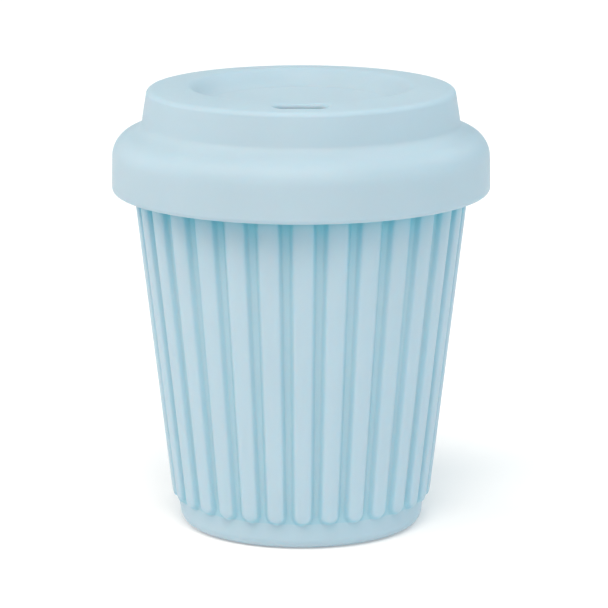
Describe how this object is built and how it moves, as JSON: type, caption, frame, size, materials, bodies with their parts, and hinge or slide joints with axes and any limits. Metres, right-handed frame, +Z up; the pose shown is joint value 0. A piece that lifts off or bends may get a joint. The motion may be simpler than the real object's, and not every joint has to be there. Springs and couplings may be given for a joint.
{
  "type": "reusable takeaway cup with lid",
  "caption": "Tapered drinking cup with vertical round-ended ribs and a smooth foot, closed by a push-on lid with a dished top, a raised ring and a sip hole.",
  "frame": {"origin": "centre of the flat face that the cup stands on", "axes": "+Z up along the cup's axis, -Y towards the sip hole, +X to the right of someone facing the sip hole"},
  "size_m": [0.09, 0.09, 0.1062],
  "materials": {
    "cup_silicone": "pale blue silicone, satin, moulded in one piece",
    "lid_silicone": "pale blue silicone, satin, moulded in one piece, thinner walled than the cup"
  },
  "bodies": {
    "cup": {"cup": "cup_silicone"},
    "lid": {"lid": "lid_silicone"}
  },
  "joints": [
    {"name": "lid_lift", "type": "slide", "parent": "cup", "child": "lid", "axis": [0, 0, 1], "range_m": [0, 0.06]}
  ]
}
